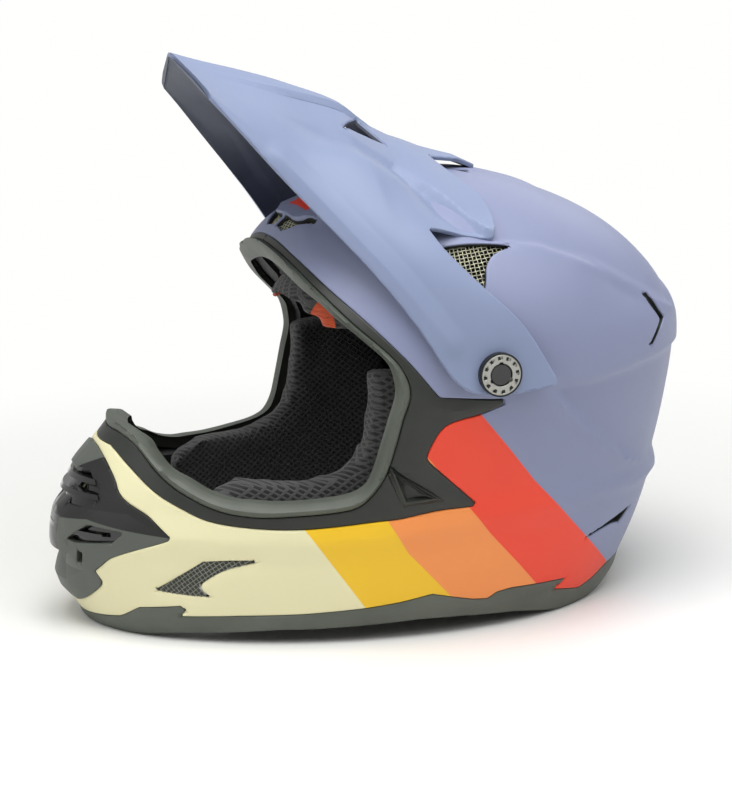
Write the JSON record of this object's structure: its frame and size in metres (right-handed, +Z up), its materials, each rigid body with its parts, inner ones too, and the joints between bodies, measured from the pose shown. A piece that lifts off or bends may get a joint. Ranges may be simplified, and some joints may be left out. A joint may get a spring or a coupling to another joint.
{
  "type": "downhill bike full face helmet",
  "caption": "Full face downhill helmet: domed shell with a projecting chin bar, open eyeport, raised pointed visor on side pivots, padded liner and a chin strap with D-rings.",
  "frame": {"origin": "centre of the helmet's bounding box in X and Y, on the floor it stands on", "axes": "+Z up, -X the way the helmet faces, -Y the wearer's left"},
  "size_m": [0.3649, 0.2574, 0.3025],
  "materials": {
    "painted_shell": "matt lavender blue lacquer with cream, yellow, orange and red diagonal bands low on the side",
    "visor_plastic": "matt lavender blue",
    "black_plastic": "matt black",
    "gloss_black": "gloss black",
    "grey_rubber": "soft dark grey",
    "foam": "black moulded foam beads",
    "mesh": "woven grey wire",
    "black_fabric": "black spacer mesh over foam",
    "orange_fabric": "orange brushed fabric",
    "webbing": "black ribbed webbing",
    "aluminium": "dark grey anodised",
    "red_aluminium": "red anodised",
    "brass": "bare",
    "steel": "bright"
  },
  "bodies": {
    "helmet": {"outer_shell": "painted_shell", "base_trim": "grey_rubber", "eyeport_surround": "black_plastic", "eyeport_seal": "grey_rubber", "crown_liner": "foam", "chin_liner": "foam", "chin_vent_cover": "black_plastic", "chin_vent_fins": "gloss_black", "chin_vent_screen": "mesh", "visor_centre_insert": "brass", "crown_pad": "black_fabric", "forehead_pad": "orange_fabric", "neck_roll": "black_fabric", "chin_side_vent_left": "black_plastic", "brow_vent_screen_left": "mesh", "crown_vent_screen_left": "mesh", "visor_insert_left": "brass", "cheek_pad_left": "black_fabric", "strap_anchor_left": "steel", "chin_side_vent_right": "black_plastic", "brow_vent_screen_right": "mesh", "crown_vent_screen_right": "mesh", "visor_insert_right": "brass", "cheek_pad_right": "black_fabric", "strap_anchor_right": "steel"},
    "visor_body": {"visor": "visor_plastic", "visor_washer_left": "grey_rubber", "visor_washer_right": "grey_rubber"},
    "screw_left": {"visor_screw_left": "aluminium", "visor_screw_cap_left": "black_plastic"},
    "screw_right": {"visor_screw_right": "aluminium", "visor_screw_cap_right": "black_plastic"},
    "centre_screw": {"visor_centre_screw": "red_aluminium"},
    "strap_left": {"chin_strap_left": "webbing"},
    "strap_right": {"chin_strap_right": "webbing"},
    "ring_upper": {"d_ring_upper": "steel"},
    "ring_lower": {"d_ring_lower": "steel"}
  },
  "joints": [
    {"name": "visor_tilt", "type": "hinge", "parent": "helmet", "child": "visor_body", "pos_m": [0.035, 0, 0.143], "axis": [0, -1, 0], "range_deg": [0, 6]},
    {"name": "screw_left_turn", "type": "hinge", "parent": "helmet", "child": "screw_left", "pos_m": [0.035, -0.125, 0.143], "axis": [0, -1, 0], "continuous": true},
    {"name": "screw_right_turn", "type": "hinge", "parent": "helmet", "child": "screw_right", "pos_m": [0.035, 0.125, 0.143], "axis": [0, 1, 0], "continuous": true},
    {"name": "centre_screw_turn", "type": "hinge", "parent": "helmet", "child": "centre_screw", "pos_m": [-0.02223, 0, 0.23459], "axis": [-0.5299, 0, 0.848], "continuous": true},
    {"name": "strap_left_swing", "type": "hinge", "parent": "helmet", "child": "strap_left", "pos_m": [0.062, -0.078, 0.074], "axis": [1, 0, 0], "range_deg": [0, 12]},
    {"name": "strap_right_swing", "type": "hinge", "parent": "helmet", "child": "strap_right", "pos_m": [0.062, 0.078, 0.074], "axis": [-1, 0, 0], "range_deg": [0, 12]},
    {"name": "ring_upper_swing", "type": "hinge", "parent": "strap_left", "child": "ring_upper", "pos_m": [0.062, -0.0338, 0.008], "axis": [1, 0, 0], "range_deg": [0, 30]},
    {"name": "ring_lower_swing", "type": "hinge", "parent": "strap_left", "child": "ring_lower", "pos_m": [0.062, -0.0338, 0.0048], "axis": [-1, 0, 0], "range_deg": [0, 8]}
  ]
}
